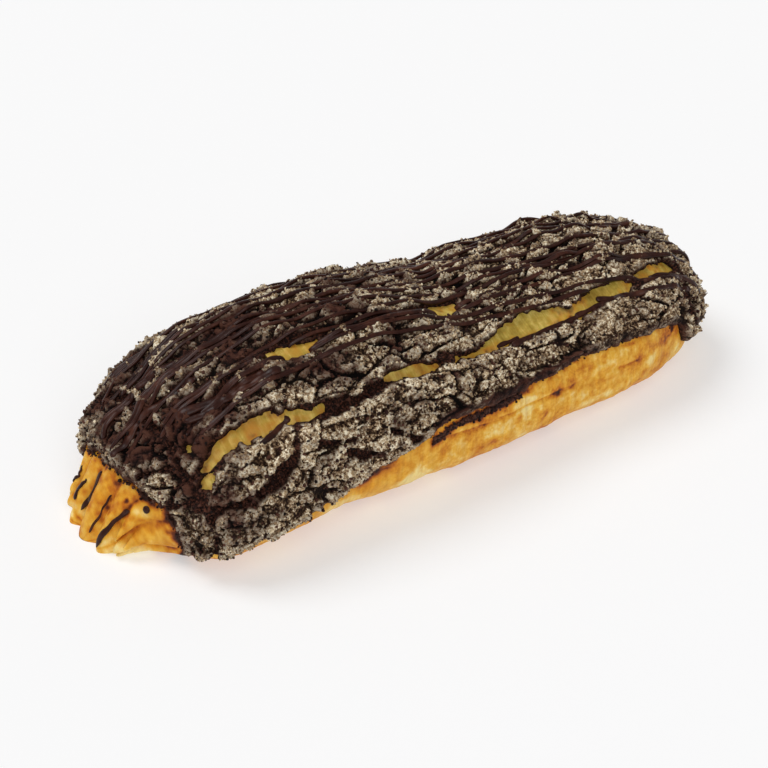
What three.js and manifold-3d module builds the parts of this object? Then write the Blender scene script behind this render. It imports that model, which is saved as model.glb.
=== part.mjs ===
// A chocolate craquelin eclair: a piped choux shell under a cracked cocoa crust, with chocolate
// drizzled along its length. Millimetres, +Z up. X runs from the fluted piping tip at -X to the
// capped end at +X, -Y is the front, and the shell stands on Z = 0.
import * as THREE from "three";
import { mergeVertices } from "three/addons/utils/BufferGeometryUtils.js";
import Module from "manifold-3d";

const wasm = await Module();
wasm.setup();

// Driving dimensions of the choux shell
const TIP_X = -76;
const END_X = 72.6;
const TIP_ROUND = 4; // length over which the piping tip rounds off
const CAP_START_X = 51;
const CAP_POWER = 2.2;
const CAP_POLE_Z = 11.5; // height of the middle of the capped end
const WIDEST_AT = 0.4; // height of the widest line, as a share of the section's height
const CROWN_POWER = 2.25;
const BELLY_POWER = 3;
const SETTLE = 0.8; // how far the baked underside is pressed flat
const FLUTES = 12;
const FLUTE_DEPTH = 1.6;
const SCALLOP = 1.8;
const TIP_HALF_WIDTH = 11;
const SIDE_RIPPLE = 0.2;
// x, half width and height of the shell, from the tip to the capped end
const SECTIONS = [
  [-76, 9.6, 4.2],
  [-72, 11.3, 9.7],
  [-68, 13.6, 15.8],
  [-64, 18.6, 21],
  [-59, 23.8, 25.4],
  [-52, 25, 31],
  [-43, 25.2, 34.5],
  [-30, 24.3, 36.6],
  [-12, 25.3, 35.3],
  [8, 24.9, 31.2],
  [28, 23.6, 30.3],
  [46, 22.9, 29.1],
  [58, 20.2, 27.1],
  [80, 19, 25.5],
];
// x and sideways offset of the section's middle: the tip is piped a little to the back
const SIDE_SHIFT = [
  [-76, 4],
  [-66, 3],
  [-52, 0],
  [80, 0],
];

// Driving dimensions of the crust
const CRUST_THICK = 2.4;
const CRUST_GAP = 0.3; // clearance between the crust and the shell under it
const CRUST_ROOT = 1; // how far the uncut crust reaches into the shell
const CRAG = 0.55; // height of the crust's lumps
// Where the crust ends, by x, as an angle from the ridge: front edge, then back edge
const FRONT_EDGE = [
  [-68, 100],
  [-64, 104],
  [-58, 102],
  [-45, 98],
  [-35, 96],
  [-28, 92],
  [-20, 88],
  [-12, 81],
  [-6, 76],
  [2, 74],
  [20, 71],
  [35, 69],
  [50, 71],
  [58, 77],
  [62, 88],
  [67, 93],
  [80, 93],
];
const BACK_EDGE = [
  [-68, -98],
  [-58, -94],
  [-40, -90],
  [-25, -82],
  [-5, -76],
  [15, -80],
  [35, -74],
  [55, -80],
  [66, -92],
  [80, -93],
];
// Where the crust starts over the piping tip: angle, x
const LEFT_EDGE = [
  [-100, -65.8],
  [-68, -66.8],
  [0, -67.6],
  [46, -66.3],
  [68, -64.5],
  [102, -63.4],
];

// Cracks: x, angle and half width of points along each. Those in THROUGH part the crust into
// plates, chocolate and all, and those in PARTIAL are gaps that the drizzle bridges.
const THROUGH = {
  left_collar: [
    [-62, -108, 0.9],
    [-61.5, -75, 0.6],
    [-61, -45, 0.8],
    [-59.5, -15, 1.1],
    [-60, 15, 0.7],
    [-60.3, 45, 0.8],
    [-59, 75, 0.6],
    [-59.5, 112, 0.8],
  ],
  front_fissure: [
    [-61.5, 46, 0.8],
    [-57, 42, 1.7],
    [-51, 38, 2.7],
    [-45, 41, 2.7],
    [-39, 46, 2],
    [-31, 52, 0.8],
    [-24, 51, 0.8],
    [-17, 46, 1.3],
    [-10, 45, 1.4],
    [-3, 43, 0.6],
    [4, 42.5, 1.4],
    [14, 39.5, 2.4],
    [23, 39, 2.6],
    [30, 41.5, 1.5],
    [37, 38, 2.4],
    [44, 36.5, 2],
    [49.5, 36.5, 0.7],
    [56, 37, 1.6],
    [63, 37, 0.6],
  ],
  chip_crack: [
    [-39, 47, 1],
    [-40.5, 56, 1.1],
    [-43, 66, 1],
    [-49, 71, 1.3],
    [-55, 70, 1.1],
    [-61, 64, 0.6],
  ],
  right_collar: [
    [61.5, -106, 0.6],
    [62, -60, 0.6],
    [60.6, -20, 0.8],
    [61.4, 20, 0.6],
    [61.2, 60, 0.7],
    [62.4, 102, 0.7],
  ],
  back_fissure: [
    [-62.5, -52, 0.7],
    [-50, -47, 1.6],
    [-38, -51, 2.3],
    [-25, -47, 1],
    [-12, -50, 0.6],
    [2, -46, 1.8],
    [16, -49, 2.4],
    [30, -45, 1.2],
    [45, -49, 1.9],
    [63, -46, 0.7],
  ],
};
const PARTIAL = {
  ridge_gap: [
    [-55, 21, 0.3],
    [-45, 13, 0.8],
    [-38, 11.5, 1.9],
    [-31, 14, 2],
    [-22, 16, 0.7],
    [-10, 14.5, 0.6],
    [-1, 12.5, 1],
    [4, 11, 1.6],
    [14, 8.5, 0.3],
  ],
  shoulder_gap: [
    [-46, 20, 0.3],
    [-50, 26, 0.8],
    [-55, 33, 0.3],
  ],
  far_gap: [
    [14, -17, 0.3],
    [26, -14, 1.1],
    [38, -18, 0.9],
    [50, -15, 0.3],
  ],
  back_gap: [
    [-44, -22, 0.3],
    [-30, -27, 1.2],
    [-14, -24, 0.9],
    [-2, -27, 0.3],
  ],
};
// A point on each plate, as x and angle, which gives the solid there its name
const PLATES = {
  crust_left_cap: [-64, 10],
  crust_chip: [-50, 57],
  crust_front: [10, 58],
  crust_top: [30, 8],
  crust_back: [5, -64],
  crust_right_cap: [69, 20],
};

// Driving dimensions of the drizzle
const STRAND_HALF_WIDTH = 1;
const STRAND_HEIGHT = 1;
const STRAND_ROOT = 0.9;
const STRAND_COUNT = 7;
const STRAND_PITCH = 4;
const STRAND_START_X = -64;
const STRAND_STEP = 10;
const STRAND_SWAY = 0.8;
// Marks on the piped tip, as the x and y of each end, and the half width
const TIP_MARKS = [
  [-69.2, 13.6, -71.9, 13.5, 0.5],
  [-70.8, 9.2, -73.6, 10.2, 0.6],
  [-69.3, 6.2, -74.4, 7.8, 0.8],
  [-70.2, 0.2, -75.1, 2, 0.5],
  [-69.3, -6.3, -74.6, -2.6, 0.8],
];
const TIP_DOT = [-67.4, -8.9, 0.8];

// Mesh steps
const SHELL_RINGS = 28;
const SHELL_SIDES = 48;
const CRUST_STEPS = 32;
const CRUST_SIDES = 22;
const CRACK_STEP = 4;

const radians = THREE.MathUtils.degToRad;
const clamp = THREE.MathUtils.clamp;

// Smooth curve through the rows of a table of [x, value, ...], at x.
function along(table, x, column = 1) {
  const last = table.length - 1;
  const at = clamp(x, table[0][0], table[last][0]);
  let i = 0;
  while (i < last - 1 && table[i + 1][0] <= at) i++;
  const slope = (k) => {
    const a = table[Math.max(k - 1, 0)];
    const b = table[Math.min(k + 1, last)];
    return (b[column] - a[column]) / (b[0] - a[0]);
  };
  const span = table[i + 1][0] - table[i][0];
  const t = (at - table[i][0]) / span;
  return (
    (2 * t ** 3 - 3 * t ** 2 + 1) * table[i][column] +
    (t ** 3 - 2 * t ** 2 + t) * slope(i) * span +
    (3 * t ** 2 - 2 * t ** 3) * table[i + 1][column] +
    (t ** 3 - t ** 2) * slope(i + 1) * span
  );
}

// The shell's section at x: half width, crown, widest line, belly and sideways offset.
function section(x) {
  const c = clamp((x - CAP_START_X) / (END_X - CAP_START_X), 0, 1);
  const cap = (1 - c ** CAP_POWER) ** (1 / CAP_POWER);
  const t = clamp((TIP_X + TIP_ROUND - x) / TIP_ROUND, 0, 1);
  const tip = Math.sqrt(1 - t * t);
  const height = along(SECTIONS, x, 2);
  const crown = x < 0 ? height * tip : CAP_POLE_Z + (height - CAP_POLE_Z) * cap;
  const belly = CAP_POLE_Z * (1 - cap);
  return {
    half: along(SECTIONS, x) * cap * tip,
    crown,
    belly,
    widest: belly + WIDEST_AT * (crown - belly),
    shift: along(SIDE_SHIFT, x),
  };
}

const power = (value, exponent) => Math.sign(value) * Math.abs(value) ** exponent;

// Depth of the piped flutes: full on the tip, faint along the sides, none underneath or where
// the tip runs out on the floor.
function flute(x, angle, crown) {
  const nearTip = THREE.MathUtils.smoothstep(-x, 58, 69) * THREE.MathUtils.smoothstep(crown, 2, 9);
  const upper = THREE.MathUtils.smoothstep(Math.cos(angle), -0.75, -0.3);
  const depth = SIDE_RIPPLE + (FLUTE_DEPTH - SIDE_RIPPLE) * nearTip;
  return depth * upper * (Math.cos(FLUTES * angle) - 1) * 0.5;
}

// How far the piped end draws back between its flutes, so that its edge is scalloped, at x and
// a distance from the tip's middle line.
function scallop(x, aside) {
  const nearEnd = THREE.MathUtils.smoothstep(-x, 68, 74);
  const across = Math.min(aside / TIP_HALF_WIDTH, 1) ** (CROWN_POWER / 2);
  return SCALLOP * nearEnd * (1 - Math.cos(FLUTES * Math.asin(across))) * 0.5;
}

// A point on the shell. The angle runs from 0 at the ridge to the front, and back the other way.
function shellPoint(x, angle) {
  const { half, crown, belly, widest, shift } = section(x);
  const inset = 1 + flute(x, angle, crown) / Math.max(half, 4);
  const sine = Math.sin(angle);
  const cosine = Math.cos(angle);
  const y = shift - half * inset * power(sine, 2 / CROWN_POWER);
  const rise =
    cosine >= 0
      ? (crown - widest) * inset * cosine ** (2 / CROWN_POWER)
      : (belly - widest) * Math.abs(cosine) ** (2 / BELLY_POWER);
  const drawnBack = scallop(x, Math.abs(y - shift));
  return new THREE.Vector3(x + drawnBack, y, Math.max(widest + rise - SETTLE, 0));
}

const MIDDLE_X = (TIP_X + END_X) / 2;
const HALF_LENGTH = (END_X - TIP_X) / 2;
// Stations close up towards both ends: 0 is the tip, 1 the middle of the capped end.
const stationX = (s) => MIDDLE_X - HALF_LENGTH * Math.cos(Math.PI * s);
const xStation = (x) => Math.acos((MIDDLE_X - x) / HALF_LENGTH) / Math.PI;

// Outward direction of the shell at a station and angle.
function shellNormal(s, angle) {
  const ds = 0.004;
  const da = 0.03;
  const at = clamp(s, 2 * ds, 1 - 2 * ds);
  const lengthwise = shellPoint(stationX(at + ds), angle).sub(shellPoint(stationX(at - ds), angle));
  const across = shellPoint(stationX(at), angle + da).sub(shellPoint(stationX(at), angle - da));
  const normal = across.cross(lengthwise).normalize();
  if (s > 1 - 2 * ds) return new THREE.Vector3(1, 0, 0);
  return normal;
}

// A point at a height over the shell.
function over(s, angle, height) {
  return shellPoint(stationX(s), angle).addScaledVector(shellNormal(s, angle), height);
}

// Smooth unevenness between -1 and 1, at about the given wavelength.
function uneven(p, wavelength, phase = 0) {
  const k = (2 * Math.PI) / wavelength;
  return (
    (Math.sin(k * p.x + 1.7 * Math.sin(0.61 * k * p.y + phase)) +
      Math.sin(0.83 * k * (p.y + p.z) + 1.3 * Math.sin(0.71 * k * p.x + 2 * phase)) +
      Math.sin(1.21 * k * (p.z - 0.6 * p.x) + phase)) /
    3
  );
}

// How thick the crust is over a point of the shell.
function crustThickness(p) {
  return CRUST_THICK + CRAG * (0.9 * uneven(p, 17, 0.4) + uneven(p, 8.5, 2.1));
}

// A solid from points and triangles, for joining and cutting.
function solidFrom(points, faces) {
  const geometry = new THREE.BufferGeometry().setFromPoints(points);
  geometry.setIndex(faces.flat());
  const merged = mergeVertices(geometry, 1e-4);
  return new wasm.Manifold(
    new wasm.Mesh({
      numProp: 3,
      vertProperties: new Float32Array(merged.attributes.position.array),
      triVerts: new Uint32Array(merged.index.array),
    }),
  );
}

// Faces of a closed skin over rings of points of equal count, with each end drawn to its centre.
function tubeSolid(rings) {
  const count = rings[0].length;
  const points = rings.flat();
  const faces = [];
  for (let i = 0; i < rings.length - 1; i++)
    for (let j = 0; j < count; j++) {
      const a = i * count + j;
      const b = i * count + ((j + 1) % count);
      faces.push([a, a + count, b], [b, a + count, b + count]);
    }
  for (const [ring, outward] of [
    [0, false],
    [rings.length - 1, true],
  ]) {
    const centre = rings[ring].reduce((sum, p) => sum.add(p), new THREE.Vector3());
    points.push(centre.divideScalar(count));
    const hub = points.length - 1;
    for (let j = 0; j < count; j++) {
      const a = ring * count + j;
      const b = ring * count + ((j + 1) % count);
      faces.push(outward ? [b, a, hub] : [a, b, hub]);
    }
  }
  return solidFrom(points, faces);
}

// The choux shell, or a copy of it grown by a clearance.
function shellSolid(clearance = 0) {
  const rings = [];
  for (let i = 1; i < SHELL_RINGS; i++) {
    const ring = [];
    for (let j = 0; j < SHELL_SIDES; j++) {
      const angle = (-2 * Math.PI * j) / SHELL_SIDES;
      ring.push(over(i / SHELL_RINGS, angle, clearance));
    }
    rings.push(ring);
  }
  return tubeSolid(rings);
}

// The uncut crust: a thick skin over the shell between its four edges, rooted in the shell.
function crustBlank() {
  const outer = [];
  const inner = [];
  for (let i = 0; i <= CRUST_STEPS; i++) {
    const share = i / CRUST_STEPS;
    const x = stationX(THREE.MathUtils.lerp(xStation(-66.5), 1, share));
    const front = radians(along(FRONT_EDGE, x));
    const back = radians(along(BACK_EDGE, x));
    for (let j = 0; j <= CRUST_SIDES; j++) {
      const angle = THREE.MathUtils.lerp(back, front, j / CRUST_SIDES);
      const start = xStation(along(LEFT_EDGE, THREE.MathUtils.radToDeg(angle)));
      const s = Math.min(THREE.MathUtils.lerp(start, 1, share), 1);
      const edge = Math.min(i, j, CRUST_SIDES - j) === 0 ? 0.65 : 1;
      const surface = shellPoint(stationX(s), angle);
      const last = i === CRUST_STEPS;
      outer.push(over(s, last ? 0 : angle, edge * crustThickness(surface)));
      inner.push(over(s, last ? 0 : angle, -CRUST_ROOT));
    }
  }
  const row = CRUST_SIDES + 1;
  const under = outer.length;
  const faces = [];
  const quad = (a, b, c, d) => faces.push([a, b, c], [a, c, d]);
  for (let i = 0; i < CRUST_STEPS; i++)
    for (let j = 0; j < CRUST_SIDES; j++) {
      const a = i * row + j;
      quad(a, a + 1, a + row + 1, a + row);
      quad(under + a, under + a + row, under + a + row + 1, under + a + 1);
    }
  for (let j = 0; j < CRUST_SIDES; j++) quad(j, under + j, under + j + 1, j + 1);
  for (let i = 0; i < CRUST_STEPS; i++) {
    const back = i * row;
    const front = back + CRUST_SIDES;
    quad(back, back + row, under + back + row, under + back);
    quad(front, under + front, under + front + row, front + row);
  }
  return solidFrom([...outer, ...inner], dropFlat([...outer, ...inner], faces));
}

// Faces that still have three different corners.
function dropFlat(points, faces) {
  const same = (a, b) => points[a].distanceTo(points[b]) < 1e-4;
  return faces.filter(([a, b, c]) => !same(a, b) && !same(b, c) && !same(c, a));
}

// A crack's cutter: a blade that follows the crack's line, with ragged sides and thin ends.
function crackBlade(line) {
  const curve = new THREE.CatmullRomCurve3(line.map((p) => new THREE.Vector3(...p)));
  const pathOf = (p) => shellPoint(p.x, radians(p.y));
  const rough = curve.getPoints(line.length * 6).map(pathOf);
  const length = rough.reduce((sum, p, i) => (i ? sum + p.distanceTo(rough[i - 1]) : 0), 0);
  const steps = Math.max(6, Math.round(length / CRACK_STEP));
  const marks = curve.getPoints(steps);
  const rings = marks.map((mark, i) => {
    const s = xStation(mark.x);
    const angle = radians(mark.y);
    const before = pathOf(marks[Math.max(i - 1, 0)]);
    const after = pathOf(marks[Math.min(i + 1, steps)]);
    const normal = shellNormal(s, angle);
    const side = after.sub(before).cross(normal).normalize();
    const here = shellPoint(mark.x, angle);
    const left = mark.z * (1 + 0.4 * uneven(here, 5, 1));
    const right = mark.z * (1 + 0.4 * uneven(here, 6, 4));
    const corner = (across, height) =>
      here.clone().addScaledVector(side, across).addScaledVector(normal, height);
    return [corner(-left, -2), corner(right, -2), corner(right * 1.1, 8), corner(-left * 1.1, 8)];
  });
  return tubeSolid(rings);
}

// One line of chocolate over points, each with the outward direction there.
function strand(points, normals, halfWidth, height) {
  const profile = [
    [-1, -1],
    [-0.6, 0.95],
    [0.55, 1],
    [1, -1],
  ];
  const rings = points.map((p, i) => {
    const before = points[Math.max(i - 1, 0)];
    const after = points[Math.min(i + 1, points.length - 1)];
    const side = after.clone().sub(before).cross(normals[i]).normalize();
    const end = i === 0 || i === points.length - 1 ? 0.6 : 1;
    return profile.map(([across, up]) =>
      p
        .clone()
        .addScaledVector(side, across * halfWidth * end)
        .addScaledVector(normals[i], up > 0 ? up * height * end : -STRAND_ROOT),
    );
  });
  return tubeSolid(rings.map((ring) => ring.reverse()));
}

// The angle at which the shell's upper side has the given y, or null past its side.
function angleAt(x, y) {
  const { half, shift } = section(x);
  const share = (shift - y) / half;
  if (Math.abs(share) > 0.97) return null;
  return Math.asin(power(share, CROWN_POWER / 2));
}

// The drizzle: long strands that fell from above, so each keeps nearly one y over the crust.
function drizzleStrands() {
  const strands = [];
  for (let k = 0; k < STRAND_COUNT; k++) {
    const y0 = (k - (STRAND_COUNT - 1) / 2) * STRAND_PITCH;
    const points = [];
    const normals = [];
    const steps = Math.round((END_X - STRAND_START_X) / STRAND_STEP);
    const first = xStation(STRAND_START_X);
    for (let i = 0; i <= steps; i++) {
      const s = THREE.MathUtils.lerp(first, 0.985, i / steps);
      const x = stationX(s);
      const y = y0 + STRAND_SWAY * Math.sin(0.09 * x + 1.9 * k) + 0.4 * Math.sin(0.23 * x + 0.7 * k);
      const angle = angleAt(x, y);
      if (angle === null) continue;
      points.push(over(s, angle, crustThickness(shellPoint(x, angle)) - 0.1));
      normals.push(shellNormal(s, angle));
    }
    strands.push(strand(points, normals, STRAND_HALF_WIDTH, STRAND_HEIGHT));
  }
  return strands;
}

// The drizzle that ran past the crust, as short marks and a dot on the piped tip.
function tipMarks() {
  const marks = TIP_MARKS.map(([x0, y0, x1, y1, halfWidth]) => {
    const points = [];
    const normals = [];
    for (let i = 0; i <= 4; i++) {
      const x = THREE.MathUtils.lerp(x0, x1, i / 4);
      const y = THREE.MathUtils.lerp(y0, y1, i / 4);
      const { half, shift } = section(x);
      const share = clamp((shift - y) / half, -0.98, 0.98);
      const angle = Math.asin(power(share, CROWN_POWER / 2));
      points.push(shellPoint(x, angle));
      normals.push(shellNormal(xStation(x), angle));
    }
    return strand(points, normals, halfWidth, 0.6);
  });
  const [x, y, radius] = TIP_DOT;
  const angle = angleAt(x, y);
  const ball = new THREE.SphereGeometry(radius, 8, 6);
  ball.deleteAttribute("normal");
  ball.deleteAttribute("uv");
  const centre = shellPoint(x, angle);
  ball.translate(centre.x, centre.y, centre.z);
  const merged = mergeVertices(ball, 1e-4);
  const dot = new wasm.Manifold(
    new wasm.Mesh({
      numProp: 3,
      vertProperties: new Float32Array(merged.attributes.position.array),
      triVerts: new Uint32Array(merged.index.array),
    }),
  );
  return [...marks, dot];
}

// A three.js mesh from a joined or cut solid.
function meshFrom(solid, name, material) {
  const { vertProperties, triVerts } = solid.getMesh();
  const geometry = new THREE.BufferGeometry();
  geometry.setAttribute("position", new THREE.BufferAttribute(vertProperties, 3));
  geometry.setIndex(new THREE.BufferAttribute(triVerts, 1));
  geometry.computeVertexNormals();
  const mesh = new THREE.Mesh(geometry, material);
  mesh.name = name;
  return mesh;
}

// The crust's plates, each a solid by name, with the drizzle that lies on it.
function crustPlates() {
  let crust = crustBlank();
  for (const line of Object.values(PARTIAL)) crust = crust.subtract(crackBlade(line));
  for (const line of drizzleStrands()) crust = crust.add(line);
  for (const line of Object.values(THROUGH)) crust = crust.subtract(crackBlade(line));
  crust = crust.subtract(shellSolid(CRUST_GAP));
  const pieces = crust.decompose();
  const nearest = (piece, probe) => {
    const { vertProperties: v } = piece.getMesh();
    let best = Infinity;
    for (let i = 0; i < v.length; i += 3)
      best = Math.min(best, Math.hypot(v[i] - probe.x, v[i + 1] - probe.y, v[i + 2] - probe.z));
    return best;
  };
  const named = new Map();
  for (const [name, [x, degrees]] of Object.entries(PLATES)) {
    const probe = over(xStation(x), radians(degrees), CRUST_THICK);
    const sorted = pieces.slice().sort((a, b) => nearest(a, probe) - nearest(b, probe));
    named.set(name, sorted[0]);
  }
  return named;
}

const choux = new THREE.MeshStandardMaterial({ color: 0xd9963c, roughness: 0.62, metalness: 0 });
const cocoaCrust = new THREE.MeshStandardMaterial({ color: 0x4a342c, roughness: 0.85, metalness: 0 });

const eclair = new THREE.Group();
let shell = shellSolid();
for (const mark of tipMarks()) shell = shell.add(mark);
eclair.add(meshFrom(shell, "choux_shell", choux));
for (const [name, plate] of crustPlates()) eclair.add(meshFrom(plate, name, cocoaCrust));

// The origin is on the floor, under the middle of the whole pastry.
const bounds = new THREE.Box3().setFromObject(eclair);
const middle = bounds.getCenter(new THREE.Vector3());
eclair.position.set(-middle.x, -middle.y, -bounds.min.z);

export default eclair;
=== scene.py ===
"""Looks of a chocolate craquelin eclair: choux shell, cracked cocoa crust, sugar and drizzle."""

import math
from itertools import product

import bpy
import numpy as np
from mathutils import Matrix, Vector


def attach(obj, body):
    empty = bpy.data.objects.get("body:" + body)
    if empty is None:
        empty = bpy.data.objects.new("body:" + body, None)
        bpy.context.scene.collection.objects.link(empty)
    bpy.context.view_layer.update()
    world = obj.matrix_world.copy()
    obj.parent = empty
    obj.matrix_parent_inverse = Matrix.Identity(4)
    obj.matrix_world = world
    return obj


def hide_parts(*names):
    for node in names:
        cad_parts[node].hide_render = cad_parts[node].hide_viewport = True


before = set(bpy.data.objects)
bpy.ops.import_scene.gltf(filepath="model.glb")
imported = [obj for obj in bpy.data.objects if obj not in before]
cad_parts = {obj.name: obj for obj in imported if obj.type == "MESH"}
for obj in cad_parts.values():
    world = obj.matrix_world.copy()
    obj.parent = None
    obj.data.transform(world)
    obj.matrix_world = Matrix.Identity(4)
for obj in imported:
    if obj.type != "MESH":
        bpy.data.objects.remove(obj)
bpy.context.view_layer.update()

# Sizes are in millimetres, in the pastry's own layout, until a mesh is made: x runs along it,
# and an angle runs from 0 at the ridge to positive at the front and negative at the back.
# Where the layout's origin is in the frame:
PLACE = np.array([0.3192, 0.134, 0.0])

# The shell: where it starts and ends, how its sections are rounded, the tip's flutes, its
# sections as x, half width and height, and its lean as x and sideways offset
TIP_X = -76.0
END_X = 72.6
MIDDLE_X = (TIP_X + END_X) / 2
HALF_LENGTH = (END_X - TIP_X) / 2
TIP_ROUND = 4.0
CAP_START_X = 51.0
CAP_POWER = 2.2
CAP_POLE_Z = 11.5
WIDEST_AT = 0.4
CROWN_POWER = 2.25
BELLY_POWER = 3.0
SETTLE = 0.8
FLUTES = 12
FLUTE_DEPTH = 1.9
SCALLOP = 1.8
TIP_HALF_WIDTH = 11.0
SECTIONS = np.array([
    (-76, 9.6, 4.2), (-72, 11.3, 9.7), (-68, 13.6, 15.8), (-64, 18.6, 21), (-59, 23.8, 25.4),
    (-52, 25, 31), (-43, 25.2, 34.5), (-30, 24.3, 36.6), (-12, 25.3, 35.3), (8, 24.9, 31.2),
    (28, 23.6, 30.3), (46, 22.9, 29.1), (58, 20.2, 27.1), (80, 19, 25.5),
], float)
SIDE_SHIFT = np.array([(-76, 4), (-66, 3), (-52, 0), (80, 0)], float)
SHELL_FIRST_STATION = 1 / 60
SHELL_LAST_STATION = 0.993

# The crust: its thickness and unevenness, how far it is sunk in the shell where it is open, the
# least height that is kept, and its grid, which runs on for some degrees past its edges, with
# its rows times their widest spacing
CRUST_THICK = 2.4
CRAG = 0.55
SUNK = 0.9
LEAST_SHOWN = -0.75
CRUST_START_X = -69.6
CRUST_LAST_STATION = 0.9965
PAST_EDGE = 3.5
ROWS_SPAN = 190.0
# Its edges as x and angle, or angle and x over the tip
FRONT_EDGE = np.array([
    (-68, 100), (-64, 104), (-58, 102), (-45, 98), (-35, 96), (-28, 92), (-20, 88), (-12, 81),
    (-6, 76), (2, 74), (20, 71), (35, 69), (50, 71), (57.8, 77), (59.4, 90), (61, 91),
    (62.4, 87), (67, 93), (80, 93),
], float)
BACK_EDGE = np.array([
    (-68, -98), (-58, -94), (-40, -90), (-25, -82), (-5, -76), (15, -80), (35, -74),
    (55, -80), (66, -92), (80, -93),
], float)
LEFT_EDGE = np.array([
    (-100, -65.8), (-68, -66.8), (0, -67.6), (46, -66.3), (68, -64.5), (102, -63.4),
], float)

# Cracks with a floor of dark crumb: x, angle and half width along each
FRONT_FISSURE = [
    (-61.5, 46, 0.8), (-57, 43, 1.5), (-51, 38, 2.4), (-45, 41, 2.4), (-39, 46.5, 2.2),
    (-31, 52, 1.5), (-24, 51, 1.6), (-17, 46, 1.3), (-10, 45, 1.2), (-3, 43, 0.7),
    (4, 42.5, 1.2), (14, 39.5, 2.2), (23, 39, 2.4), (30, 41.5, 1.4), (37, 38, 2.2),
    (44, 36.5, 1.8), (49.5, 36.5, 0.7), (56, 37, 1.4), (63, 37, 0.6),
]
BACK_FISSURE = [
    (-62.5, -52, 0.7), (-50, -47, 1.4), (-38, -51, 2.1), (-25, -47, 1), (-12, -50, 0.6),
    (2, -46, 1.6), (16, -49, 2.2), (30, -45, 1.1), (45, -49, 1.7), (63, -46, 0.7),
]
LEFT_COLLAR = [
    (-62, -108, 0.8), (-61.5, -75, 0.5), (-61, -45, 0.7), (-59.5, -15, 1.1), (-60, 15, 0.8),
    (-60.3, 45, 0.7), (-59, 75, 0.4), (-59.5, 112, 0.4),
]
RIGHT_COLLAR = [
    (61.5, -106, 0.5), (62, -60, 0.5), (60.6, -20, 0.8), (61.4, 20, 0.6), (61.2, 60, 0.6),
    (62.4, 102, 0.6),
]
CHIP_CRACK = [
    (-39, 47, 1), (-40.5, 56, 1), (-43, 66, 0.9), (-49, 71, 1.2), (-55, 70, 1), (-61, 64, 0.6),
]
DARK_CRACKS = [
    FRONT_FISSURE,
    BACK_FISSURE,
    LEFT_COLLAR,
    RIGHT_COLLAR,
    CHIP_CRACK,
    [(-57, 22, 0.3), (-50, 17, 0.7), (-44, 12, 1.0), (-38, 9, 1.5), (-31, 9.5, 1.4),
     (-22, 13, 1.0), (-14, 14.5, 0.7), (-6, 13.5, 0.7), (-1, 11, 1.0), (7, 9, 1.0),
     (14, 8, 0.3)],
    [(-46, 20, 0.3), (-50, 26, 0.8), (-54, 33, 0.6)],
    [(14, -17, 0.3), (26, -14, 1.1), (38, -18, 0.9), (50, -15, 0.3)],
    [(-44, -22, 0.3), (-30, -27, 1.2), (-14, -24, 0.9), (-2, -27, 0.3)],
    [(64.6, 26, 0.8), (63.4, 45, 1.3), (62.8, 58, 1.6), (62.3, 72, 1.7), (61.8, 82, 1.4)],
    [(-21, 71, 0.3), (-18, 76, 0.6), (-15, 81, 0.5)],
    [(-37, 65, 0.2), (-33, 68, 0.5), (-29, 70, 0.3)],
    [(-31, 74, 0.3), (-28, 79, 0.6), (-23, 83, 0.4)],
    [(30, 3, 0.2), (42, 6, 0.9), (52, 4, 0.7), (58, 9, 0.3)],
    [(-61, -2, 0.3), (-52, 2, 0.7), (-44, 0, 0.2)],
    [(-66, 30, 0.4), (-61, 34, 0.8)],
    [(-66, 62, 0.3), (-60, 58, 0.7)],
]
CRACK_SHARE = 0.6  # how much of each crack is open after its crumbling sides
# Windows down to bare choux: x, lowest angle and highest angle along each
WINDOWS = [
    [(-58.6, 41, 43), (-55, 34, 43), (-52, 33, 42), (-48, 34, 44.5), (-45, 36, 46.5),
     (-42, 39.5, 48), (-39, 43, 49.5), (-36, 47, 51), (-33.5, 49.3, 50.5)],
    [(-59.3, 47, 50), (-58.4, 45, 52), (-57.4, 47, 50)],
    [(-18.5, 45.5, 46.5), (-15, 43.5, 47.5), (-10, 43, 48), (-6.5, 43, 47), (-4.5, 44.5, 45.5)],
    [(-1, 43, 44), (3, 41.5, 45), (5, 41, 45.5), (10, 36, 45.2), (15, 31.5, 45), (20, 30.5, 45),
     (25, 32, 45.2), (28, 34.5, 45.3), (30, 37.5, 45.3), (33, 34, 45), (38, 31, 42.8),
     (43, 30, 41), (47, 31.5, 40), (48.8, 35, 37.5)],
    [(51, 31.5, 35), (54, 28, 36), (57, 27.5, 36.5), (60, 26.5, 37), (62, 25.5, 37),
     (63.6, 27, 35)],
    [(-37.5, 12, 13), (-35, 11, 17.5), (-32, 11, 19), (-29, 12.5, 19), (-26.5, 14.5, 18),
     (-24.5, 16, 16.8)],
    [(0, 11.5, 13), (2, 9.5, 18), (4.5, 8.7, 19), (7, 9.5, 17), (8, 10.5, 12)],
    [(-59, 27, 28), (-58, 25, 30), (-57, 26.5, 28.5)],
    [(-45, -49.5, -46.5), (-38, -53.5, -48), (-31, -51, -46.5), (-26, -48, -47)],
    [(4, -47.5, -45), (10, -49.5, -45), (16, -52, -46.5), (24, -50, -45.5), (31, -46.5, -44.5)],
    [(38, -48.5, -47), (44, -51, -47.5), (50, -50.5, -48), (53, -49.5, -49)],
    [(-34, -27, -26), (-30, -29, -25.6), (-25, -28.5, -25.5), (-21, -26.5, -25.5)],
]

# The drizzle's long strands, at even spacings across, and how far a strand bridges a gap
STRANDS = 16
STRAND_PITCH = 2.15
NEAREST_STRAND_Y = -12.9
STRAND_HALF_WIDTH = 0.56
STRAND_RISE = 0.5
STRAND_START_X = -67.4
STRAND_END_X = 71.8
STRAND_LAST_STATION = 0.985
STRAND_LENGTH = 150
LOWEST_STRAND_ANGLE = 88
LONG_BRIDGE = 2.6
SHORT_BRIDGE = 1.2
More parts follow.
